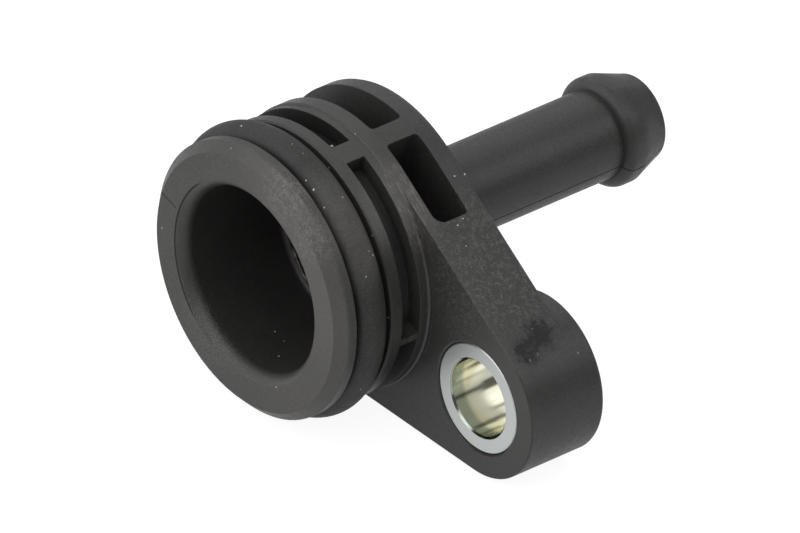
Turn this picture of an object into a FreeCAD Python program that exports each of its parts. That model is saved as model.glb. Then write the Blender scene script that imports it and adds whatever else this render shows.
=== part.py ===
# Coolant flange: a moulded nylon flange with a sealed spigot on one side and a hose
# nipple on the other, a rubber sealing ring in the spigot's groove, and a steel
# compression sleeve in the bolt ear.
#
# Row frame, in millimetres. The origin is on the bore axis in the plane of the seating
# face. Y runs from the spigot's mouth to the hose nipple's tip, Z is up, and X points
# from the bore to the ear. The part lies on the lower flat side of its flange, so the
# line from bore to bolt drops towards +X.
import FreeCAD, Part
import math
import os
import Sketcher

# Driving dimensions
SIZES = [
    ("spigot_length", 9.95, "from the seating face to the spigot's front face"),
    ("lip_radius", 12.5, "the spigot's lip in front of the seal"),
    ("lip_edge", 0.9, "chamfer of the lip's front edge"),
    ("lip_width", 1.95, "front face to the seal groove"),
    ("groove_width", 3.6, "seal groove along the axis"),
    ("groove_depth", 2.35, "lip to the floor of the seal groove"),
    ("collar_step", 0.1, "the collar between seal and flange stands this far above the lip"),
    ("collar_edge", 0.15, "chamfer of the groove's two outer edges"),
    ("ring_width", 1.2, "the thin ring behind the seal groove"),
    ("slot_width", 1.95, "the row of lightening slots in the collar"),
    ("slot_depth", 1.6, "collar to the hub that floors the slots"),
    ("web_thickness", 2.0, "upper and lower webs left between the slots"),
    ("side_web", 0.7, "webs left between the slots at the sides"),
    ("side_web_height", 1.5, "the side webs' middle above the mould's parting plane"),
    ("mouth_flare", 0.8, "how much wider the bore's rounded lead-in is at its mouth"),
    ("mouth_depth", 1.3, "length of the lead-in"),
    ("bore_depth", 11.0, "front face to the bottom of the bore"),
    ("bottom_round", 0.6, "fillet round the bottom of the bore"),
    ("hub_wall", 2.6, "hub to the spigot's bore"),
    ("pocket_wall", 1.3, "spigot's bore to the floor of the rim pockets"),
    ("bottom_wall", 1.4, "bore's bottom to the deep cores behind it"),
    ("core_floor", 5.8, "bore axis to the flat floor of the deep cores"),
    ("plate_thickness", 6.3, "the flange from its seating face to its back"),
    ("flange_step", 0.15, "the flange's round end stands this far above the collar"),
    ("step_lead", 0.3, "this step starts so far in front of the seating face"),
    ("ear_wall", 2.2, "the flange's ear round the sleeve"),
    ("sleeve_reach", 2.0, "collar to the compression sleeve's outside"),
    ("skin", 1.1, "the flange in front of the rim pockets"),
    ("pocket_width", 3.35, "the pockets in the flange's rim, along the axis"),
    ("pocket_inset", 2.0, "ear side pocket's end to the hub's side"),
    ("pocket_corner", 1.0, "rounding of the ear side pocket's front corner"),
    ("core_corner", 0.4, "rounding of the pockets' other corners"),
    ("plate_edge", 0.12, "chamfer of the seating face's outer edge"),
    ("back_edge", 0.4, "rounding of the back's outer edge"),
    ("boss_height", 1.7, "the ear's boss behind the flange"),
    ("stub_radius", 4.0, "outside of the hose nipple"),
    ("root_round", 1.2, "fillet where the nipple leaves the flange"),
    ("stub_length", 33.5, "from the seating face to the nipple's tip"),
    ("stub_wall", 1.4, "wall of the hose nipple"),
    ("duct_edge", 0.25, "chamfer of the duct at the nipple's tip"),
    ("bead_length", 5.0, "hose bead, from its shoulder to the tip"),
    ("bead_height", 0.95, "crest of the hose bead above the nipple"),
    ("bead_round", 0.85, "rounding of the bead's shoulder"),
    ("bead_crest", 0.9, "straight crest of the bead"),
    ("tip_wall", 1.32, "wall of the nipple at its end"),
    ("tip_round", 0.4, "rounding of the nipple's end"),
    ("seal_section", 3.0, "diameter of the sealing ring's cord"),
    ("seal_gap", 0.05, "between the seal and the groove's floor"),
    ("sleeve_wall", 1.5, "wall of the compression sleeve"),
    ("sleeve_bore", 3.5, "bolt hole of the sleeve"),
    ("sleeve_gap", 0.05, "between the sleeve and its seat"),
    ("sleeve_recess", 0.1, "the sleeve behind the seating face"),
    ("sleeve_edge", 0.18, "chamfer of the sleeve's bore"),
    ("sleeve_corner", 0.12, "chamfer of the sleeve's outer edges"),
    ("seat_edge", 0.12, "chamfer of the plastic round the sleeve"),
]


class Size:
    """A length that carries its number and its formula over the sheet's cells."""

    def __init__(self, value, formula):
        self.value = value
        self.formula = formula

    def joined(self, other, sign, value):
        text = other.formula if isinstance(other, Size) else str(other)
        return Size(value, f"({self.formula} {sign} {text})")

    def __add__(self, other):
        return self.joined(other, "+", self.value + number(other))

    def __sub__(self, other):
        return self.joined(other, "-", self.value - number(other))

    def __mul__(self, other):
        return self.joined(other, "*", self.value * number(other))

    def __truediv__(self, other):
        return self.joined(other, "/", self.value / number(other))

    def __neg__(self):
        return Size(-self.value, f"(0 - {self.formula})")


def number(thing):
    return thing.value if isinstance(thing, Size) else thing


def side_of(longest, other):
    """The other short side of a right triangle."""
    value = math.sqrt(longest.value ** 2 - other.value ** 2)
    return Size(value, f"sqrt({longest.formula}^2 - {other.formula}^2)")


ZERO = Size(0.0, "0")


def fill_sheet(doc):
    """Write the driving dimensions and hand them back by name."""
    sheet = doc.addObject("Spreadsheet::Sheet", "Sizes")
    named = {}
    for row, (name, value, note) in enumerate(SIZES, start=1):
        sheet.set(f"A{row}", note)
        sheet.set(f"B{row}", str(value))
        sheet.setAlias(f"B{row}", name)
        named[name] = Size(value, f"Sizes.{name}")
    return named


def with_derived(size):
    """Add the sizes that follow from walls and steps about the bore and the bolt."""
    size["collar_radius"] = size["lip_radius"] + size["collar_step"]
    size["flange_radius"] = size["collar_radius"] + size["flange_step"]
    size["groove_radius"] = size["lip_radius"] - size["groove_depth"]
    size["hub_radius"] = size["collar_radius"] - size["slot_depth"]
    size["bore_radius"] = size["hub_radius"] - size["hub_wall"]
    size["duct_radius"] = size["stub_radius"] - size["stub_wall"]
    size["bead_radius"] = size["stub_radius"] + size["bead_height"]
    size["tip_radius"] = size["duct_radius"] + size["tip_wall"]
    size["sleeve_radius"] = size["sleeve_bore"] + size["sleeve_wall"]
    size["ear_radius"] = size["sleeve_radius"] + size["ear_wall"]
    size["bolt_offset"] = size["collar_radius"] + size["sleeve_reach"] + size["sleeve_radius"]
    size["pocket_end"] = size["hub_radius"] - size["pocket_inset"]
    size["pocket_floor"] = size["bore_radius"] + size["pocket_wall"]
    return size


# Sketches
def origin_plane(body, role):
    for feature in body.Origin.OriginFeatures:
        if feature.Role == role:
            return feature


def new_sketch(body, name, role, lift=None):
    """A sketch on one of the body's own planes, lifted along its normal."""
    sketch = body.newObject("Sketcher::SketchObject", name)
    sketch.AttachmentSupport = [(origin_plane(body, role), "")]
    sketch.MapMode = "FlatFace"
    if lift is not None:
        sketch.setExpression(".AttachmentOffset.Base.z", lift.formula)
    return sketch


def bind(sketch, constraint, size):
    index = sketch.addConstraint(constraint)
    sketch.setExpression(f"Constraints[{index}]", size.formula)


def pin_point(sketch, side, end, x, y):
    """Hold a point of a side at x, y from the sketch's origin.

    Point 1 is a side's start, 2 its end and 3 its centre. Side -1 is the sketch's
    horizontal axis, and side -2 its vertical axis.
    """
    if x is ZERO:
        sketch.addConstraint(Sketcher.Constraint("PointOnObject", side, end, -2))
    else:
        bind(sketch, Sketcher.Constraint("DistanceX", -1, 1, side, end, x.value), x)
    if y is ZERO:
        sketch.addConstraint(Sketcher.Constraint("PointOnObject", side, end, -1))
    else:
        bind(sketch, Sketcher.Constraint("DistanceY", -1, 1, side, end, y.value), y)


def arc_between(start, end, radius, turn):
    """The short arc from start to end; turn is 1 anticlockwise and -1 clockwise."""
    chord = end - start
    middle = (start + end) * 0.5
    rise = math.sqrt(max(radius ** 2 - (chord.Length / 2) ** 2, 0.0))
    left = FreeCAD.Vector(-chord.y, chord.x, 0).normalize()
    centre = middle + left * rise * turn
    circle = Part.Circle(centre, FreeCAD.Vector(0, 0, 1), radius)
    first, last = (start, end) if turn > 0 else (end, start)
    return Part.ArcOfCircle(circle, circle.parameter(first), circle.parameter(last))


def draw_outline(sketch, corners):
    """Close an outline through the corners and tie each one to the sheet.

    A corner is (x, y), reached by a straight side, or (x, y, radius, turn), reached by
    an arc of that radius.
    """
    spots = [FreeCAD.Vector(corner[0].value, corner[1].value, 0) for corner in corners]
    heads = []
    tails = []
    for index, corner in enumerate(corners):
        start = spots[index - 1]
        end = spots[index]
        if len(corner) == 2:
            side = sketch.addGeometry(Part.LineSegment(start, end), False)
            heads.append((side, 1))
            tails.append((side, 2))
        else:
            radius, turn = corner[2], corner[3]
            side = sketch.addGeometry(arc_between(start, end, radius.value, turn), False)
            heads.append((side, 1) if turn > 0 else (side, 2))
            tails.append((side, 2) if turn > 0 else (side, 1))
    for index, corner in enumerate(corners):
        follower = heads[(index + 1) % len(corners)]
        sketch.addConstraint(Sketcher.Constraint("Coincident", *tails[index], *follower))
        pin_point(sketch, *tails[index], corner[0], corner[1])
    for index, corner in enumerate(corners):
        if len(corner) == 4:
            bind(sketch, Sketcher.Constraint("Radius", tails[index][0], corner[2].value), corner[2])


def draw_circle(sketch, x, y, radius):
    centre = FreeCAD.Vector(x.value, y.value, 0)
    circle = Part.Circle(centre, FreeCAD.Vector(0, 0, 1), radius.value)
    side = sketch.addGeometry(circle, False)
    pin_point(sketch, side, 3, x, y)
    bind(sketch, Sketcher.Constraint("Radius", side, radius.value), radius)


# Features
def turned(body, kind, name, sketch):
    """A full turn of the sketch about its own vertical axis, added or cut."""
    feature = body.newObject(kind, name)
    feature.Profile = sketch
    feature.ReferenceAxis = (sketch, ["V_Axis"])
    feature.Angle = 360
    return feature


def pushed(body, kind, name, sketch, length, reverse):
    """The sketch pushed straight along its normal, added or cut."""
    feature = body.newObject(kind, name)
    feature.Profile = sketch
    feature.Type = 0
    feature.setExpression("Length", length.formula)
    feature.Reversed = reverse
    return feature


def eased(doc, body, kind, name, base, wanted, size):
    """A fillet or chamfer on the edges of base that wanted picks."""
    doc.recompute()
    names = []
    for index, edge in enumerate(base.Shape.Edges, start=1):
        if wanted(edge):
            names.append(f"Edge{index}")
    feature = body.newObject(kind, name)
    feature.Base = (base, names)
    feature.setExpression("Radius" if kind == "PartDesign::Fillet" else "Size", size.formula)
    doc.recompute()
    return feature


def lies_at(edge, y):
    """Whether the whole edge lies in the plane across the axis at y."""
    box = edge.BoundBox
    return abs(box.YMin - y) < 1e-4 and abs(box.YMax - y) < 1e-4


# The moulded flange
def spigot_and_nipple(body, size):
    """All that is turned about the bore axis, as one solid profile."""
    front = -size["spigot_length"]
    groove_front = front + size["lip_width"]
    groove_back = groove_front + size["groove_width"]
    edge = size["collar_edge"]
    lip = size["lip_radius"]
    collar = size["collar_radius"]
    floor = size["groove_radius"]
    plate = size["plate_thickness"]
    stub = size["stub_radius"]
    tip = size["stub_length"]
    root = size["root_round"]
    shoulder = tip - size["bead_length"]
    bead = size["bead_radius"]
    bead_round = size["bead_round"]
    crest_end = shoulder + bead_round + size["bead_crest"]
    tip_round = size["tip_round"]
    sketch = new_sketch(body, "OuterProfile", "XY_Plane")
    draw_outline(sketch, [
        (ZERO, front),
        (lip - size["lip_edge"], front),
        (lip, front + size["lip_edge"]),
        (lip, groove_front - edge),
        (lip - edge, groove_front),
        (floor, groove_front),
        (floor, groove_back),
        (collar - edge, groove_back),
        (collar, groove_back + edge),
        (collar, -(size["step_lead"] + size["flange_step"])),
        (size["flange_radius"], -size["step_lead"]),
        (size["flange_radius"], size["plate_edge"]),
        (collar, size["plate_edge"]),
        (collar, plate),
        (stub + root, plate),
        (stub, plate + root, root, -1),
        (stub, shoulder),
        (bead - bead_round, shoulder),
        (bead, shoulder + bead_round, bead_round, 1),
        (bead, crest_end),
        (size["tip_radius"], tip - tip_round),
        (size["tip_radius"] - tip_round, tip, tip_round, 1),
        (ZERO, tip),
    ])
    return turned(body, "PartDesign::Revolution", "SpigotAndNipple", sketch)


def flange_outline(sketch, size):
    """Two round ends and the straight sides that are tangent to both."""
    big = size["flange_radius"]
    small = size["ear_radius"]
    reach = size["bolt_offset"]
    lean = math.acos((big.value - small.value) / reach.value)
    up = FreeCAD.Vector(0, 0, 1)
    bore = FreeCAD.Vector(0, 0, 0)
    bolt = FreeCAD.Vector(reach.value, 0, 0)
    above = FreeCAD.Vector(math.cos(lean), math.sin(lean), 0)
    below = FreeCAD.Vector(math.cos(lean), -math.sin(lean), 0)
    round_end = Part.ArcOfCircle(Part.Circle(bore, up, big.value), lean, 2 * math.pi - lean)
    ear_end = Part.ArcOfCircle(Part.Circle(bolt, up, small.value), -lean, lean)
    upper = Part.LineSegment(bolt + above * small.value, above * big.value)
    lower = Part.LineSegment(below * big.value, bolt + below * small.value)
    arc, ear, top, bottom = [sketch.addGeometry(one, False) for one in (round_end, ear_end, upper, lower)]
    for side, follower in ((top, arc), (arc, bottom), (bottom, ear), (ear, top)):
        sketch.addConstraint(Sketcher.Constraint("Tangent", side, 2, follower, 1))
    sketch.addConstraint(Sketcher.Constraint("Coincident", arc, 3, -1, 1))
    pin_point(sketch, ear, 3, reach, ZERO)
    bind(sketch, Sketcher.Constraint("Radius", arc, big.value), big)
    bind(sketch, Sketcher.Constraint("Radius", ear, small.value), small)


def flange_plate(doc, body, size):
    """The flange with its ear, the boss behind the ear, and their eased edges."""
    back = size["plate_thickness"]
    boss_back = back + size["boss_height"]
    outline = new_sketch(body, "FlangeOutline", "XZ_Plane")
    flange_outline(outline, size)
    plate = pushed(body, "PartDesign::Pad", "Plate", outline, back, True)
    front_eased = eased(
        doc, body, "PartDesign::Chamfer", "FrontEdge", plate,
        lambda edge: lies_at(edge, 0.0), size["plate_edge"])
    eased(
        doc, body, "PartDesign::Fillet", "BackEdge", front_eased,
        lambda edge: lies_at(edge, back.value), size["back_edge"])
    boss_outline = new_sketch(body, "BossOutline", "XZ_Plane", -size["plate_edge"])
    draw_circle(boss_outline, size["bolt_offset"], ZERO, size["ear_radius"])
    boss_length = boss_back - size["plate_edge"]
    boss = pushed(body, "PartDesign::Pad", "Boss", boss_outline, boss_length, True)
    eased(
        doc, body, "PartDesign::Fillet", "BossEdge", boss,
        lambda edge: lies_at(edge, boss_back.value), size["back_edge"])


def waterway(body, size):
    """The spigot's blind bore and the narrow duct that leaves its bottom."""
    front = -size["spigot_length"]
    bore = size["bore_radius"]
    bottom = front + size["bore_depth"]
    bottom_round = size["bottom_round"]
    duct = size["duct_radius"]
    duct_edge = size["duct_edge"]
    tip = size["stub_length"]
    flare = size["mouth_flare"]
    depth = size["mouth_depth"]
    lead_in = flare / 2 + depth * depth / flare / 2
    sketch = new_sketch(body, "WaterwayProfile", "XY_Plane")
    draw_outline(sketch, [
        (ZERO, front),
        (bore + flare, front),
        (bore, front + depth, lead_in, -1),
        (bore, bottom - bottom_round),
        (bore - bottom_round, bottom, bottom_round, 1),
        (duct, bottom),
        (duct, tip - duct_edge),
        (duct + duct_edge, tip),
        (ZERO, tip),
    ])
    return turned(body, "PartDesign::Groove", "Waterway", sketch)


def side_slot(half_web, hub, outside, end, side, level):
    """A slot's outline from an upper or lower web round to a side web.

    Side is 1 towards the ear and -1 away from it, and level 1 above the side web and -1
    below it. End is the height at which the side web cuts the slot off.
    """
    def at(x, y):
        return (x if side > 0 else -x, y)

    far = outside if level > 0 else -outside
    on_hub = side_of(hub, half_web) if level > 0 else -side_of(hub, half_web)
    return [
        at(half_web, far),
        at(outside, far),
        at(outside, end),
        at(side_of(hub, end), end),
        (*at(half_web, on_hub), hub, side * level),
    ]


def slots_and_pockets(doc, body, size):
    """Lightening slots in the collar and pockets in the flange's rim, on both sides.

    Their cores draw straight up and down, so every wall stands along the local Z.
    """
    half_web = size["web_thickness"] / 2
    hub = size["hub_radius"]
    floor = size["pocket_floor"]
    outside = size["flange_radius"] + size["slot_depth"]
    slot_front = -size["spigot_length"] + size["lip_width"] + size["groove_width"] + size["ring_width"]
    web_top = size["side_web_height"] + size["side_web"] / 2
    web_bottom = size["side_web_height"] - size["side_web"] / 2
    for name, level, end in (("Upper", 1, web_top), ("Lower", -1, web_bottom)):
        slots = new_sketch(body, f"{name}SlotOutline", "XZ_Plane", -slot_front)
        for side in (1, -1):
            draw_outline(slots, side_slot(half_web, hub, outside, end, side, level))
        pushed(body, "PartDesign::Pocket", f"{name}Slots", slots, size["slot_width"], False)
    pocket_end = size["pocket_end"]
    on_floor = side_of(floor, half_web)
    pockets = new_sketch(body, "PocketOutline", "XZ_Plane", -size["skin"])
    draw_outline(pockets, [
        (half_web, outside),
        (pocket_end, outside),
        (pocket_end, side_of(floor, pocket_end)),
        (half_web, on_floor, floor, 1),
    ])
    draw_outline(pockets, [
        (-half_web, outside),
        (-half_web, on_floor),
        (-on_floor, half_web, floor, 1),
        (-outside, half_web),
        (-outside, outside),
    ])
    upper_pockets = pushed(body, "PartDesign::Pocket", "UpperPockets", pockets, size["pocket_width"], False)
    core_floor = size["core_floor"]
    core_front = -size["spigot_length"] + size["bore_depth"] + size["bottom_wall"]
    cores = new_sketch(body, "CoreOutline", "XZ_Plane", -core_front)
    draw_outline(cores, [
        (half_web, outside),
        (pocket_end, outside),
        (pocket_end, core_floor),
        (half_web, core_floor),
    ])
    draw_outline(cores, [
        (-half_web, outside),
        (-half_web, core_floor),
        (-pocket_end, core_floor),
        (-pocket_end, outside),
    ])
    core_width = size["skin"] + size["pocket_width"] - core_front
    upper_cores = pushed(body, "PartDesign::Pocket", "UpperCores", cores, core_width, False)
    mirrored = body.newObject("PartDesign::Mirrored", "LowerPockets")
    mirrored.Originals = [upper_pockets, upper_cores]
    mirrored.MirrorPlane = (origin_plane(body, "XY_Plane"), [""])
    body.Tip = mirrored
    end = pocket_end.value
    web = half_web.value
    front = size["skin"].value
    back = front + size["pocket_width"].value

    def upright(edge, x, y):
        box = edge.BoundBox
        thin = box.XLength < 1e-4 and box.YLength < 1e-4
        return thin and abs(box.XMin - x) < 1e-4 and abs(box.YMin - y) < 1e-4

    def outer_corner(edge):
        return upright(edge, end, front)

    def inner_corner(edge):
        places = [(end, back), (web, front), (web, back), (-web, front), (-web, back)]
        return any(upright(edge, x, y) for x, y in places)

    rounded = eased(
        doc, body, "PartDesign::Fillet", "PocketCorners", mirrored,
        outer_corner, size["pocket_corner"])
    eased(
        doc, body, "PartDesign::Fillet", "CoreCorners", rounded,
        inner_corner, size["core_corner"])


def sleeve_seat(doc, body, size):
    """The through hole for the compression sleeve, with a small lead-in."""
    radius = size["sleeve_radius"] + size["sleeve_gap"]
    sketch = new_sketch(body, "SleeveSeatOutline", "XZ_Plane")
    draw_circle(sketch, size["bolt_offset"], ZERO, radius)
    length = size["plate_thickness"] + size["boss_height"]
    seat = pushed(body, "PartDesign::Pocket", "SleeveSeat", sketch, length, False)

    def mouth(edge):
        middle = edge.BoundBox.Center
        return lies_at(edge, 0.0) and abs(middle.x - size["bolt_offset"].value) < 1e-4 and abs(
            edge.BoundBox.XLength - 2 * radius.value) < 1e-3

    eased(doc, body, "PartDesign::Chamfer", "SeatEdge", seat, mouth, size["seat_edge"])


def tilt_formula(size):
    """How far the line from bore to bolt drops when the flange lies on its flat side."""
    drop = size["flange_radius"] - size["ear_radius"]
    return f"asin({drop.formula} / {size['bolt_offset'].formula})"


def make_flange_body(doc, size):
    body = doc.addObject("PartDesign::Body", "FlangeBody")
    body.Label = "flange_body"
    flange_plate(doc, body, size)
    spigot_and_nipple(body, size)
    waterway(body, size)
    doc.recompute()
    slots_and_pockets(doc, body, size)
    sleeve_seat(doc, body, size)
    body.Placement.Rotation = FreeCAD.Rotation(FreeCAD.Vector(0, 1, 0), 10)
    body.setExpression("Placement.Rotation.Angle", tilt_formula(size))
    return body


# The sealing ring
def make_sealing_ring(doc, size):
    """A rubber ring of round section, seated in the spigot's groove."""
    body = doc.addObject("PartDesign::Body", "SealingRing")
    body.Label = "sealing_ring"
    radius = size["seal_section"] / 2
    sketch = new_sketch(body, "CordSection", "XY_Plane")
    middle = size["groove_radius"] + size["seal_gap"] + radius
    draw_circle(sketch, middle, ZERO, radius)
    turned(body, "PartDesign::Revolution", "Ring", sketch)
    groove_middle = size["lip_width"] + size["groove_width"] / 2 - size["spigot_length"]
    body.setExpression("Placement.Base.y", groove_middle.formula)
    return body


# The compression sleeve
def make_compression_sleeve(doc, size):
    """A steel tube in the bolt ear that takes the bolt's load off the plastic."""
    body = doc.addObject("PartDesign::Body", "CompressionSleeve")
    body.Label = "compression_sleeve"
    outer = size["sleeve_radius"]
    bore = size["sleeve_bore"]
    edge = size["sleeve_edge"]
    corner = size["sleeve_corner"]
    length = size["plate_thickness"] + size["boss_height"] - size["sleeve_recess"]
    sketch = new_sketch(body, "WallSection", "XY_Plane")
    draw_outline(sketch, [
        (bore + edge, ZERO),
        (outer - corner, ZERO),
        (outer, corner),
        (outer, length - corner),
        (outer - corner, length),
        (bore + edge, length),
        (bore, length - edge),
        (bore, edge),
    ])
    turned(body, "PartDesign::Revolution", "Tube", sketch)
    drop = size["flange_radius"] - size["ear_radius"]
    body.setExpression("Placement.Base.x", side_of(size["bolt_offset"], drop).formula)
    body.setExpression("Placement.Base.y", size["sleeve_recess"].formula)
    body.setExpression("Placement.Base.z", (-drop).formula)
    return body


def check(doc, bodies):
    """Stop before anything is written if a feature or a solid has failed."""
    for thing in doc.Objects:
        if "Invalid" in thing.State or "Error" in thing.State:
            raise RuntimeError(f"{thing.Name} failed: {thing.State}")
    for body in bodies:
        shape = body.Shape
        if shape.isNull() or not shape.isValid() or len(shape.Solids) != 1:
            raise RuntimeError(f"{body.Label} is not one sound solid")
        box = shape.BoundBox
        print(f"{body.Label}: {shape.Volume:.1f} mm3, X {box.XMin:.2f} {box.XMax:.2f}, "
              f"Y {box.YMin:.2f} {box.YMax:.2f}, Z {box.ZMin:.2f} {box.ZMax:.2f}")


document = FreeCAD.newDocument("CoolantFlange")
sizes = with_derived(fill_sheet(document))
document.recompute()
pieces = [
    make_flange_body(document, sizes),
    make_sealing_ring(document, sizes),
    make_compression_sleeve(document, sizes),
]
document.recompute()
check(document, pieces)
os.makedirs("parts", exist_ok=True)
for piece in pieces:
    piece.Shape.exportStep(f"parts/{piece.Label}.step")
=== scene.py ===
import math

import bpy
from mathutils import Matrix, Quaternion, Vector


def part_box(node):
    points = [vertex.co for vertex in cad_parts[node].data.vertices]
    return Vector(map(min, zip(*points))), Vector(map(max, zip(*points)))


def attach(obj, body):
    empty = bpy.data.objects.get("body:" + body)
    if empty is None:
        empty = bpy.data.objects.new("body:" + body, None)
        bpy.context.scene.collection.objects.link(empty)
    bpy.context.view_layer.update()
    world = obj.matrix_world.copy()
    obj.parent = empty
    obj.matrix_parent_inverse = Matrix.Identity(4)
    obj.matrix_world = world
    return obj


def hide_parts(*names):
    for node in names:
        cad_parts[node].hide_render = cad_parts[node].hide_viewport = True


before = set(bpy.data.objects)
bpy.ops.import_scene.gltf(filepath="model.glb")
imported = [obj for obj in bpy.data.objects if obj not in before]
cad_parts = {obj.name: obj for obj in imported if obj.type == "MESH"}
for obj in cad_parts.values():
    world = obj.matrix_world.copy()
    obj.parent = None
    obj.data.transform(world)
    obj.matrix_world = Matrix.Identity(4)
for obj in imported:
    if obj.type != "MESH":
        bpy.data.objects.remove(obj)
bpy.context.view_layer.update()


# Camera
# A long lens, as the photo shows almost no perspective. It looks down on the part from
# the mouth's side, and leans a little because the real part lies on its seal.
MM = 0.001
camera_azimuth = math.radians(48.45)
camera_elevation = math.radians(33.31)
camera_roll = math.radians(2.74)
looked_at = Vector((4.31, 3.55, -1.32)) * MM
photo_width = 800
pixels_per_mm = 11.872
lens = 1050.0
sensor = 36.0

towards_camera = Vector((
    math.sin(camera_azimuth) * math.cos(camera_elevation),
    -math.cos(camera_azimuth) * math.cos(camera_elevation),
    math.sin(camera_elevation),
))
camera_distance = lens / sensor * photo_width / pixels_per_mm * MM
camera_data = bpy.data.cameras.new("camera")
camera_data.sensor_width = sensor
camera_data.lens = lens
camera_data.clip_start = camera_distance * 0.1
camera_data.clip_end = camera_distance * 10
camera = bpy.data.objects.new("camera", camera_data)
bpy.context.scene.collection.objects.link(camera)
camera.location = looked_at + towards_camera * camera_distance
camera.rotation_mode = "QUATERNION"
level_view = towards_camera.to_track_quat("Z", "Y")
camera.rotation_quaternion = level_view @ Quaternion((0, 0, 1), camera_roll)
bpy.context.scene.camera = camera
bpy.context.scene.view_settings.view_transform = "Standard"


# Floor
# A white table top under the part. It tips to meet both things that the part lies on:
# the proud sealing ring and the lowest edge of the body behind it.
seal_low, seal_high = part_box("sealing_ring")
seal_middle = (seal_low.y + seal_high.y) / 2
floor_half = 3.0
seen_glow = 0.92
mirrored_glow = 0.57
shown_grey = (0.22, 0.22, 0.22, 1)
matte_white = (0.9, 0.9, 0.9, 1)
floor_tip = math.atan(min(
    (point.co.z - seal_low.z) / (point.co.y - seal_middle)
    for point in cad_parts["flange_body"].data.vertices if point.co.y > seal_middle))

bpy.ops.object.select_all(action="DESELECT")
bpy.ops.mesh.primitive_plane_add(size=2 * floor_half, location=(0, 0, 0))
floor = bpy.context.active_object
floor.name = "floor"
floor.data.transform(
    Matrix.Translation((0, seal_middle, seal_low.z)) @ Matrix.Rotation(floor_tip, 4, "X"))

floor_paint = bpy.data.materials.new("white_table")
floor_paint.use_nodes = True
nodes, links = floor_paint.node_tree.nodes, floor_paint.node_tree.links
nodes.clear()
output = nodes.new("ShaderNodeOutputMaterial")
matte = nodes.new("ShaderNodeBsdfDiffuse")
matte.inputs["Color"].default_value = matte_white
shown = nodes.new("ShaderNodeBsdfDiffuse")
shown.inputs["Color"].default_value = shown_grey
glow = nodes.new("ShaderNodeEmission")
path = nodes.new("ShaderNodeLightPath")
glow_strength = nodes.new("ShaderNodeMapRange")
glow_strength.inputs["To Min"].default_value = mirrored_glow
glow_strength.inputs["To Max"].default_value = seen_glow
lit_floor = nodes.new("ShaderNodeAddShader")
seen = nodes.new("ShaderNodeMath")
seen.operation = "MAXIMUM"
pick = nodes.new("ShaderNodeMixShader")
links.new(path.outputs["Is Camera Ray"], glow_strength.inputs["Value"])
links.new(glow_strength.outputs[0], glow.inputs["Strength"])
links.new(path.outputs["Is Camera Ray"], seen.inputs[0])
links.new(path.outputs["Is Glossy Ray"], seen.inputs[1])
links.new(shown.outputs[0], lit_floor.inputs[0])
links.new(glow.outputs[0], lit_floor.inputs[1])
links.new(seen.outputs[0], pick.inputs[0])
links.new(matte.outputs[0], pick.inputs[1])
links.new(lit_floor.outputs[0], pick.inputs[2])
links.new(pick.outputs[0], output.inputs["Surface"])
floor.data.materials.append(floor_paint)


# Light
# Large softboxes at the left, in front, overhead and behind, a smaller one at the back
# right, and a dim pale room. No lamp is strong, so the plastic mostly mirrors the table.
lamp_distance = 0.42
room_glow = 0.12


def softbox(name, direction, power, size=0.55):
    data = bpy.data.lights.new(name, "AREA")
    data.shape = "SQUARE"
    data.size = size
    data.energy = power
    lamp = bpy.data.objects.new(name, data)
    bpy.context.scene.collection.objects.link(lamp)
    lamp.location = Vector(direction).normalized() * lamp_distance
    lamp.rotation_mode = "QUATERNION"
    lamp.rotation_quaternion = lamp.location.to_track_quat("Z", "Y")
    return lamp


softbox("left_softbox", (-0.8, -0.5, 0.35), 0.65)
softbox("front_left_softbox", (-0.38, -0.86, 0.38), 0.64)
softbox("high_front_softbox", (0.25, -0.45, 0.86), 1.14)
softbox("back_left_softbox", (-0.6, 0.4, 0.7), 0.70)
softbox("back_softbox", (0.1, 0.85, 0.5), 0.21)
softbox("back_right_softbox", (0.57, 0.48, 0.66), 0.34, 0.30)

room = bpy.data.worlds.new("room")
bpy.context.scene.world = room
room.use_nodes = True
nodes, links = room.node_tree.nodes, room.node_tree.links
nodes.clear()
output = nodes.new("ShaderNodeOutputWorld")
dim = nodes.new("ShaderNodeBackground")
dim.inputs["Color"].default_value = (0.98, 0.99, 1.0, 1)
dim.inputs["Strength"].default_value = room_glow
white = nodes.new("ShaderNodeBackground")
white.inputs["Color"].default_value = (1, 1, 1, 1)
white.inputs["Strength"].default_value = 1.0
path = nodes.new("ShaderNodeLightPath")
pick = nodes.new("ShaderNodeMixShader")
links.new(path.outputs["Is Camera Ray"], pick.inputs[0])
links.new(dim.outputs[0], pick.inputs[1])
links.new(white.outputs[0], pick.inputs[2])
links.new(pick.outputs[0], output.inputs["Surface"])


# Flange body
# One moulding of black glass-filled nylon: spigot, collar, flange, ear and hose nipple.
# Two mould halves met in the plane through the bore and the bolt, and left a fine line.
def smooth_copy(node, name, sharp_angle):
    """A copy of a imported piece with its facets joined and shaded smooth."""
    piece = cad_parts[node].copy()
    piece.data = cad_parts[node].data.copy()
    piece.name = name
    piece.parent = None
    for key in list(piece.keys()):
        del piece[key]
    bpy.context.scene.collection.objects.link(piece)
    bpy.ops.object.select_all(action="DESELECT")
    piece.select_set(True)
    bpy.context.view_layer.objects.active = piece
    bpy.ops.mesh.customdata_custom_splitnormals_clear()
    bpy.ops.object.mode_set(mode="EDIT")
    bpy.ops.mesh.select_all(action="SELECT")
    bpy.ops.mesh.remove_doubles(threshold=1e-6)
    bpy.ops.object.mode_set(mode="OBJECT")
    bpy.ops.object.shade_smooth_by_angle(angle=sharp_angle)
    fair = piece.modifiers.new("fair", "WEIGHTED_NORMAL")
    fair.keep_sharp = True
    bpy.ops.object.modifier_apply(modifier=fair.name)
    piece.data.materials.clear()
    return piece


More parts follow.
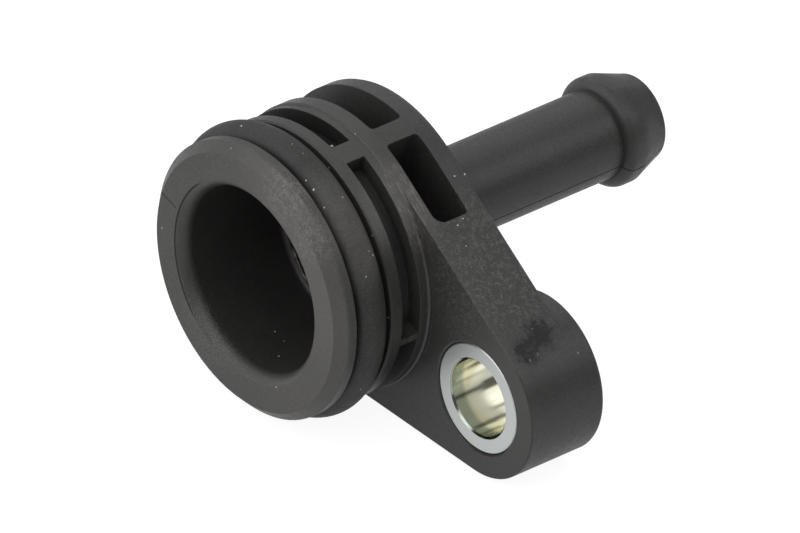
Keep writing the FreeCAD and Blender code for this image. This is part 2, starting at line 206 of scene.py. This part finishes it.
class Paint:
    """A node material and short ways to add the nodes that the three pieces share."""

    def __init__(self, name):
        self.material = bpy.data.materials.new(name)
        self.material.use_nodes = True
        self.tree = self.material.node_tree
        self.tree.nodes.clear()
        self.place = self.new("ShaderNodeTexCoord").outputs["Object"]

    def new(self, kind):
        return self.tree.nodes.new(kind)

    def feed(self, socket, value):
        """Set a socket to a number, a colour or a place, or link another node's output."""
        if isinstance(value, bpy.types.NodeSocket):
            self.tree.links.new(value, socket)
        else:
            socket.default_value = value

    def math(self, operation, first, second=0.0):
        node = self.new("ShaderNodeMath")
        node.operation = operation
        self.feed(node.inputs[0], first)
        self.feed(node.inputs[1], second)
        return node.outputs[0]

    def times(self, first, second):
        return self.math("MULTIPLY", first, second)

    def ramp(self, value, low, high, at_low=0.0, at_high=1.0):
        node = self.new("ShaderNodeMapRange")
        node.interpolation_type = "SMOOTHSTEP"
        self.feed(node.inputs["Value"], value)
        self.feed(node.inputs["From Min"], low)
        self.feed(node.inputs["From Max"], high)
        self.feed(node.inputs["To Min"], at_low)
        self.feed(node.inputs["To Max"], at_high)
        return node.outputs["Result"]

    def mix(self, factor, first, second):
        node = self.new("ShaderNodeMix")
        node.data_type = "RGBA"
        self.feed(node.inputs["Factor"], factor)
        colours = [socket for socket in node.inputs if socket.type == "RGBA"]
        self.feed(colours[0], first)
        self.feed(colours[1], second)
        return [socket for socket in node.outputs if socket.type == "RGBA"][0]

    def moved(self, location=(0, 0, 0), rotation=(0, 0, 0), scale=(1, 1, 1), kind="POINT"):
        node = self.new("ShaderNodeMapping")
        node.vector_type = kind
        self.feed(node.inputs["Vector"], self.place)
        self.feed(node.inputs["Location"], location)
        self.feed(node.inputs["Rotation"], rotation)
        self.feed(node.inputs["Scale"], scale)
        return node.outputs["Vector"]

    def axes(self, where):
        node = self.new("ShaderNodeSeparateXYZ")
        self.feed(node.inputs["Vector"], where)
        return node.outputs["X"], node.outputs["Y"], node.outputs["Z"]

    def length(self, first, second):
        squares = self.math("ADD", self.times(first, first), self.times(second, second))
        return self.math("SQRT", squares)

    def noise(self, grain, detail=3.0, roughness=0.6, where=None):
        node = self.new("ShaderNodeTexNoise")
        self.feed(node.inputs["Vector"], where or self.place)
        self.feed(node.inputs["Scale"], 1 / grain)
        self.feed(node.inputs["Detail"], detail)
        self.feed(node.inputs["Roughness"], roughness)
        return node.outputs["Fac"]

    def near(self, spot, reach, core=0.0):
        """One within the core of a spot in millimetres, fading to nothing at its reach."""
        node = self.new("ShaderNodeVectorMath")
        node.operation = "DISTANCE"
        self.feed(node.inputs[0], self.place)
        self.feed(node.inputs[1], Vector(spot) * MM)
        return self.ramp(node.outputs["Value"], core * MM, reach * MM, 1.0, 0.0)

    def all_of(self, *masks):
        total = masks[0]
        for mask in masks[1:]:
            total = self.times(total, mask)
        return total

    def any_of(self, *masks):
        total = masks[0]
        for mask in masks[1:]:
            total = self.math("MAXIMUM", total, mask)
        return total

    def specks(self, cell, size, share):
        """Dust: one speck in a share of the cells, each of its own size."""
        spots = self.new("ShaderNodeTexVoronoi")
        self.feed(spots.inputs["Vector"], self.place)
        self.feed(spots.inputs["Scale"], 1 / cell)
        tone = self.new("ShaderNodeSeparateColor")
        self.feed(tone.inputs["Color"], spots.outputs["Color"])
        chosen = self.math("LESS_THAN", tone.outputs["Red"], share)
        reach = self.times(tone.outputs["Green"], size / cell)
        return self.all_of(chosen, self.math("LESS_THAN", spots.outputs["Distance"], reach))

    def finish(self, colour, roughness, relief=None, depth=0.0, edge=0.0, **values):
        surface = self.new("ShaderNodeBsdfPrincipled")
        self.feed(surface.inputs["Base Color"], colour)
        self.feed(surface.inputs["Roughness"], roughness)
        for name, value in values.items():
            self.feed(surface.inputs[name], value)
        normal = None
        if edge:
            eased = self.new("ShaderNodeBevel")
            eased.samples = 4
            self.feed(eased.inputs["Radius"], edge)
            normal = eased.outputs["Normal"]
        if relief is not None:
            bump = self.new("ShaderNodeBump")
            self.feed(bump.inputs["Distance"], depth)
            self.feed(bump.inputs["Height"], relief)
            if normal is not None:
                self.feed(bump.inputs["Normal"], normal)
            normal = bump.outputs["Normal"]
        if normal is not None:
            self.feed(surface.inputs["Normal"], normal)
        output = self.new("ShaderNodeOutputMaterial")
        self.feed(output.inputs["Surface"], surface.outputs[0])
        return self.material


bolt_line_tilt = math.radians(16.45)
dark_plastic = (0.014, 0.014, 0.0135, 1)
pale_plastic = (0.026, 0.0255, 0.024, 1)
grain_colour = (0.085, 0.085, 0.082, 1)
film_and_highlight_colour = (0.20, 0.19, 0.18, 1)
streak_colour = (0.25, 0.215, 0.195, 1)
painted_shade_colour = (0.006, 0.006, 0.0055, 1)
bore_bottom_shade_colour = (0.010, 0.010, 0.0095, 1)
scratch_colour = (0.42, 0.40, 0.36, 1)
scuff_colour = (0.003, 0.003, 0.003, 1)
line_colour = (0.004, 0.004, 0.004, 1)
dust_colour = (0.62, 0.60, 0.56, 1)
bore_bottom_at = 1.05 * MM
mouth_radius = 9.22 * MM
ear_crumbs = [
    (23.14, 2.75, 0.19, 0.17), (23.3, 1.75, 0.07, 0.15), (21.3, 3.6, 1.45, 0.12),
    (24.07, 6.41, -0.66, 0.15),
]
web_pits = [(12.3, -2.9, -1.6, 0.16), (12.5, -2.6, -2.2, 0.12), (12.4, -2.2, -1.9, 0.10)]
moulding_dust = [
    (0.8, -1.6, 11.0, 0.16), (-10.9, -9.95, -0.2, 0.07), (2.1, 12.3, 3.4, 0.10),
    (8.8, 5.2, 9.5, 0.08), (-2.1, -4.5, -8.1, 0.08), (-0.8, -4.6, -8.4, 0.08),
    (0.7, -6.4, -8.4, 0.10), (2.3, -8.9, -8.2, 0.08), (4.6, -9.95, -8.0, 0.07),
    (11.9, 3.6, 7.5, 0.07), (12.1, -4.4, 0.8, 0.08), (9.6, -4.4, 7.7, 0.08),
    (-3.1, -9.4, 11.7, 0.06), (-8.8, -9.9, 7.5, 0.06), (3.7, -4.4, 11.4, 0.09),
    (2.3, -0.4, 12.5, 0.07), (12.2, 2.8, 7.3, 0.08), (13.8, 2.4, 6.2, 0.08),
]

nylon = Paint("black_glass_filled_nylon")
x, y, z = nylon.axes(nylon.place)
level_z = nylon.axes(nylon.moved(rotation=(0, -bolt_line_tilt, 0)))[2]
from_axis = nylon.length(x, z)
grain = nylon.noise(0.11 * MM, 3.0, 0.65)
coarse = nylon.noise(0.45 * MM, 4.0, 0.65)
cloud = nylon.noise(4.0 * MM)
colour = nylon.mix(cloud, dark_plastic, pale_plastic)
colour = nylon.mix(nylon.ramp(grain, 0.35, 0.75, 0.0, 0.45), colour, grain_colour)

# Grey film on the lip and the rings at the upper right: part of it real wear, part a painted
# highlight on the side the light falls on.
towards_lit_side = nylon.math(
    "DIVIDE",
    nylon.math("ADD", nylon.times(x, 0.72), nylon.times(z, 0.69)),
    nylon.math("ADD", from_axis, 1e-6))
outside_slots = nylon.any_of(
    nylon.ramp(from_axis, 11.2 * MM, 11.7 * MM), nylon.ramp(y, -4.6 * MM, -4.4 * MM, 1.0, 0.0))
pale_film_and_highlight = nylon.all_of(
    nylon.ramp(towards_lit_side, 0.30, 1.0), nylon.ramp(y, -0.001, 0.002, 1.0, 0.0),
    nylon.ramp(from_axis, 8.6 * MM, 9.6 * MM), outside_slots,
    nylon.ramp(grain, 0.25, 0.75, 0.55, 1.0), nylon.ramp(coarse, 0.25, 0.70, 0.7, 1.0))
brushed = nylon.all_of(
    nylon.any_of(nylon.near((4.4, -9.5, 10.9), 4.0, 0.8), nylon.near((7.6, -9.5, 8.2), 3.0, 0.5)),
    nylon.ramp(coarse, 0.38, 0.60), nylon.ramp(grain, 0.36, 0.60),
    nylon.ramp(y, -6.0 * MM, -7.0 * MM))
along_rim = nylon.moved(rotation=(0, -0.82, 0), scale=(1, 1, 6), kind="TEXTURE")
rim_scratches = nylon.noise(0.20 * MM, 3.0, 0.6, along_rim)
on_rim = nylon.ramp(from_axis, 12.45 * MM, 12.55 * MM)
worn_rim = nylon.all_of(
    nylon.any_of(nylon.near((8.4, -0.5, 9.3), 4.6, 1.5), nylon.near((10.6, -0.4, 7.0), 2.6, 0.6)),
    on_rim, nylon.ramp(rim_scratches, 0.46, 0.62),
    nylon.ramp(y, 0.9 * MM, 1.3 * MM, 1.0, 0.2))
ear_rough = nylon.near((15.5, 4.0, 4.8), 9.0, 4.0)
ear_side = nylon.ramp(from_axis, 12.78 * MM, 12.95 * MM)
ear_dust = nylon.all_of(
    ear_rough, ear_side, nylon.ramp(coarse, 0.44, 0.62), nylon.ramp(grain, 0.38, 0.60))
lead_dust = nylon.all_of(
    nylon.near((-4.4, -9.0, -7.2), 5.5, 1.0), nylon.ramp(y, -8.9 * MM, -8.2 * MM, 1.0, 0.0),
    nylon.ramp(grain, 0.42, 0.66), nylon.ramp(coarse, 0.35, 0.60, 0.3, 1.0))
wear_dust_and_highlight = nylon.any_of(
    nylon.times(pale_film_and_highlight, 0.14), nylon.times(worn_rim, 0.42),
    nylon.times(ear_dust, 0.40), nylon.times(lead_dust, 0.34))
# Painted highlight: the front face is painted paler, more so towards the right.
front_face_highlight = nylon.times(
    nylon.ramp(y, -8.6 * MM, -9.2 * MM), nylon.ramp(x, -6.0 * MM, 9.0 * MM, 0.09, 0.15))
# Painted highlight: the rim at the upper right is painted paler.
rim_highlight = nylon.all_of(nylon.near((8.4, -0.5, 9.3), 5.0, 2.0), on_rim, 0.12)
# The film sums real wear and dust with the painted highlights above.
all_film_and_highlights = nylon.math("ADD", wear_dust_and_highlight, nylon.math("ADD", front_face_highlight, rim_highlight))
colour = nylon.mix(all_film_and_highlights, colour, film_and_highlight_colour)
colour = nylon.mix(nylon.times(brushed, 0.46), colour, streak_colour)

# Painted shade: the slots, and the lower side of the ring beside them at the right, are painted
# darker than the rest, where shade falls.
painted_recess_shade = nylon.all_of(
    nylon.ramp(from_axis, 12.68 * MM, 12.40 * MM), nylon.ramp(from_axis, 9.2 * MM, 9.6 * MM),
    nylon.ramp(y, -4.4 * MM, -4.2 * MM), nylon.ramp(y, 0.6 * MM, 0.3 * MM),
    nylon.ramp(x, 6.0 * MM, 2.0 * MM, 0.3, 1.0))
side_ring_shade = nylon.all_of(
    nylon.ramp(x, 9.5 * MM, 11.5 * MM), nylon.ramp(from_axis, 12.80 * MM, 12.70 * MM),
    nylon.ramp(y, -4.7 * MM, -4.5 * MM), nylon.ramp(y, -2.0 * MM, -2.4 * MM, 0.0, 0.6))
painted_recess_shade = nylon.any_of(painted_recess_shade, side_ring_shade)
colour = nylon.mix(nylon.times(painted_recess_shade, 0.7), colour, painted_shade_colour)

# Painted light: a paler strip under the parting line, on the nipple and its bead, for light
# bounced up from the table.
bounce_light_strip = nylon.all_of(
    nylon.ramp(level_z, 0.0, -0.05 * MM), nylon.ramp(level_z, -3.5 * MM, -1.2 * MM),
    nylon.ramp(y, 28.5 * MM, 29.5 * MM))
colour = nylon.mix(nylon.times(bounce_light_strip, 0.10), colour, film_and_highlight_colour)

# Painted shade on the bottom of the bore, and scratches on it, seen at its far edge.
across_bottom = nylon.moved(rotation=(0, -0.72, 0), scale=(1, 1, 7), kind="TEXTURE")
bottom_scratches = nylon.noise(0.14 * MM, 2.0, 0.5, across_bottom)
this_deep = nylon.ramp(y, bore_bottom_at - 0.10 * MM, bore_bottom_at - 0.04 * MM)
within_bore = nylon.ramp(from_axis, 8.8 * MM, 8.5 * MM)
bore_bottom_shade = nylon.all_of(this_deep, within_bore, nylon.ramp(y, 1.5 * MM, 1.2 * MM))
scratched = nylon.all_of(
    nylon.near((-5.7, 1.0, -5.4), 2.4, 0.4), this_deep, within_bore,
    nylon.ramp(bottom_scratches, 0.54, 0.62))
colour = nylon.mix(bore_bottom_shade, colour, bore_bottom_shade_colour)
colour = nylon.mix(nylon.times(scratched, 0.8), colour, scratch_colour)

# Dark scuff on the ear's side, with torn crumbs round it.
torn = nylon.any_of(nylon.near((21.9, 4.0, 1.1), 2.8, 0.4), nylon.near((22.6, 2.0, 0.5), 2.4, 0.3))
ripped = nylon.noise(0.6 * MM, 5.0, 0.7)
ragged = nylon.math("ADD", torn, nylon.times(nylon.math("SUBTRACT", ripped, 0.5), 2.4))
scuff = nylon.ramp(ragged, 0.40, 0.95)
colour = nylon.mix(nylon.times(scuff, 0.92), colour, scuff_colour)
for spot in ear_crumbs:
    crumb = nylon.all_of(
        nylon.near(spot[:3], spot[3], spot[3] * 0.4), nylon.ramp(grain, 0.35, 0.55))
    colour = nylon.mix(nylon.times(crumb, 0.8), colour, film_and_highlight_colour)

# The line of the mould's parting plane, and the fine burr round the mouth's left side.
off_line = nylon.math("ABSOLUTE", level_z)
parting = nylon.all_of(
    nylon.ramp(off_line, 0.03 * MM, 0.09 * MM, 1.0, 0.0),
    nylon.ramp(from_axis, 3.0 * MM, 3.2 * MM),
    nylon.any_of(nylon.ramp(y, 8.0 * MM, 8.5 * MM), nylon.all_of(
        nylon.ramp(y, -9.0 * MM, -9.5 * MM), nylon.ramp(x, -9.1 * MM, -9.2 * MM))))
off_burr = nylon.math("ABSOLUTE", nylon.math("SUBTRACT", from_axis, mouth_radius))
burr = nylon.all_of(
    nylon.ramp(off_burr, 0.04 * MM, 0.11 * MM, 1.0, 0.0), nylon.ramp(y, -9.8 * MM, -9.9 * MM),
    nylon.ramp(x, -5.5 * MM, -7.0 * MM))
lines = nylon.any_of(parting, burr)
colour = nylon.mix(nylon.times(lines, 0.9), colour, line_colour)

# Small pits beside the thin web, and loose dust.
for spot in web_pits:
    pit = nylon.near(spot[:3], spot[3], spot[3] * 0.5)
    colour = nylon.mix(pit, colour, line_colour)
dust = nylon.specks(1.5 * MM, 0.10 * MM, 0.06)
for spot in moulding_dust:
    dust = nylon.any_of(dust, nylon.near(spot[:3], spot[3], spot[3] * 0.7))
colour = nylon.mix(dust, colour, dust_colour)

# Relief: fine grain, the rough ear, the torn scuff and the two lines.
rough_ear = nylon.all_of(ear_rough, ear_side, nylon.math("ADD", coarse, grain))
relief = nylon.math("ADD", nylon.times(grain, 0.5), nylon.times(coarse, 0.5))
relief = nylon.math("ADD", relief, nylon.times(rough_ear, 1.8))
relief = nylon.math("SUBTRACT", relief, nylon.all_of(torn, ripped, 9.0))
relief = nylon.math("SUBTRACT", relief, nylon.times(lines, 1.5))
gloss = nylon.ramp(coarse, 0.3, 0.7, 0.36, 0.48)
gloss = nylon.any_of(gloss, nylon.times(lines, 0.9), nylon.times(scuff, 0.62))
# Painted shade also lowers the specular level in the slots and on the side ring.
specular_level_with_shade = nylon.ramp(painted_recess_shade, 0.0, 1.0, 0.5, 0.25)

moulding = smooth_copy("flange_body", "moulding", math.radians(28))
moulding.data.materials.append(
    nylon.finish(
        colour, gloss, relief, depth=0.02 * MM, edge=0.10 * MM,
        **{"IOR": 1.5, "Specular IOR Level": specular_level_with_shade}))
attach(moulding, "root")
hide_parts("flange_body")


# Sealing ring
# A moulded rubber ring of round section, stretched into the spigot's groove. It stands
# proud of the lip, to seal the spigot in the bore that it is pushed into.
seal_dust = [
    (-4.8, -6.9, 12.1, 0.09), (5.4, -7.5, 11.3, 0.12), (4.4, -7.5, 11.7, 0.08),
    (6.9, -7.5, 10.3, 0.08), (7.3, -5.9, 10.9, 0.08), (2.5, -6.3, 13.0, 0.07),
    (11.0, -5.5, 6.9, 0.10), (11.8, -6.8, 5.7, 0.07), (1.1, -6.3, 13.1, 0.07),
]

dark_rubber = (0.010, 0.010, 0.0095, 1)
pale_rubber = (0.022, 0.0215, 0.020, 1)

rubber = Paint("black_seal_rubber")
x, _, z = rubber.axes(rubber.place)
from_axis = rubber.length(x, z)
skin = rubber.noise(0.16 * MM)
smear = rubber.noise(2.2 * MM, 4.0, 0.6)
colour = rubber.mix(smear, dark_rubber, pale_rubber)
colour = rubber.mix(rubber.ramp(skin, 0.40, 0.75, 0.0, 0.30), colour, grain_colour)
# Painted highlight: a pale film on the seal's upper right side, where the light falls on it.
towards_lit_side = rubber.math(
    "DIVIDE",
    rubber.math("ADD", rubber.times(x, 0.70), rubber.times(z, 0.71)),
    from_axis)
pale_film_and_highlight = rubber.all_of(
    rubber.ramp(towards_lit_side, 0.86, 1.0), rubber.ramp(smear, 0.30, 0.65, 0.55, 1.0),
    rubber.ramp(skin, 0.25, 0.70, 0.7, 1.0))
colour = rubber.mix(rubber.times(pale_film_and_highlight, 0.28), colour, film_and_highlight_colour)
dust = rubber.specks(0.9 * MM, 0.09 * MM, 0.12)
for spot in seal_dust:
    dust = rubber.any_of(dust, rubber.near(spot[:3], spot[3], spot[3] * 0.7))
colour = rubber.mix(dust, colour, dust_colour)

seal = smooth_copy("sealing_ring", "seal", math.radians(40))
seal.data.materials.append(
    rubber.finish(colour, rubber.ramp(smear, 0.3, 0.7, 0.52, 0.66), skin, 0.012 * MM))
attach(seal, "root")
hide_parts("sealing_ring")


# Compression sleeve
# A turned steel tube, zinc plated, pressed into the ear so that the bolt bears on steel.
# Its bore is yellowish, with painted shade making it duller near the front and painted light
# making it brighter towards the back end.
sleeve_low, sleeve_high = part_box("compression_sleeve")
sleeve_middle = (sleeve_low + sleeve_high) / 2
sleeve_bore = 3.5 * MM
chamfer_from = sleeve_bore + 0.14 * MM
chamfer_to = sleeve_bore + 0.19 * MM
face_zinc = (0.68, 0.71, 0.70, 1)
back_end_painted_light = (0.86, 0.87, 0.84, 1)
drawn_zinc = (0.34, 0.35, 0.30, 1)

zinc = Paint("zinc_plated_steel")
x, y, z = zinc.axes(zinc.moved(location=-sleeve_middle))
from_axis = zinc.length(x, z)
inside = zinc.ramp(from_axis, chamfer_from, chamfer_to, 1.0, 0.0)
stain = zinc.noise(2.0 * MM)
drawn = zinc.noise(0.30 * MM, 3.0, 0.6, zinc.moved(scale=(1, 0.06, 1)))
fine = zinc.noise(0.12 * MM, 2.0, 0.5)
gold = zinc.mix(stain, (0.76, 0.72, 0.56, 1), (0.68, 0.69, 0.56, 1))
# Painted shade: the bore is painted duller and greyer near the front.
front_bore_shade = zinc.mix(stain, (0.42, 0.45, 0.39, 1), (0.36, 0.41, 0.37, 1))
gold = zinc.mix(zinc.ramp(y, -2.9 * MM, -2.3 * MM), front_bore_shade, gold)
gold = zinc.mix(zinc.ramp(drawn, 0.60, 0.72, 0.0, 0.45), gold, drawn_zinc)
# Painted light: the bore is painted brighter towards the back end.
gold = zinc.mix(zinc.ramp(y, 2.2 * MM, 2.4 * MM), gold, back_end_painted_light)
colour = zinc.mix(inside, face_zinc, gold)
gloss = zinc.ramp(from_axis, chamfer_from, chamfer_to, 0.15, 0.42)

sleeve = smooth_copy("compression_sleeve", "sleeve", math.radians(30))
sleeve.data.materials.append(
    zinc.finish(colour, gloss, fine, depth=0.001 * MM, edge=0.10 * MM, Metallic=1.0))
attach(sleeve, "root")
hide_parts("compression_sleeve")
